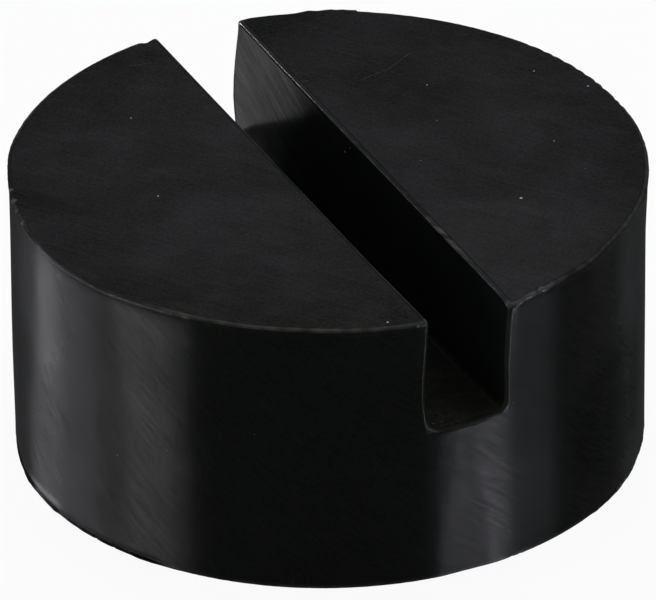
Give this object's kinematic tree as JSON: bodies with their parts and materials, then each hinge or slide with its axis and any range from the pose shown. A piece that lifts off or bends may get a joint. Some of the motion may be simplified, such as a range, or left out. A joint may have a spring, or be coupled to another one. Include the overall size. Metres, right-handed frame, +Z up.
{
  "type": "rubber jack pad",
  "caption": "Round black rubber pad with a straight slot across its flat top. It sits on a floor jack, and the seam under a car's sill goes into the slot.",
  "frame": {"origin": "centre of the flat base", "axes": "+Z up through the pad's height, towards the slotted top; +Y along the slot"},
  "size_m": [0.065, 0.0646, 0.03],
  "materials": {
    "rubber": "satin black moulded rubber"
  },
  "bodies": {
    "root": {"jack_pad": "rubber"}
  },
  "joints": []
}
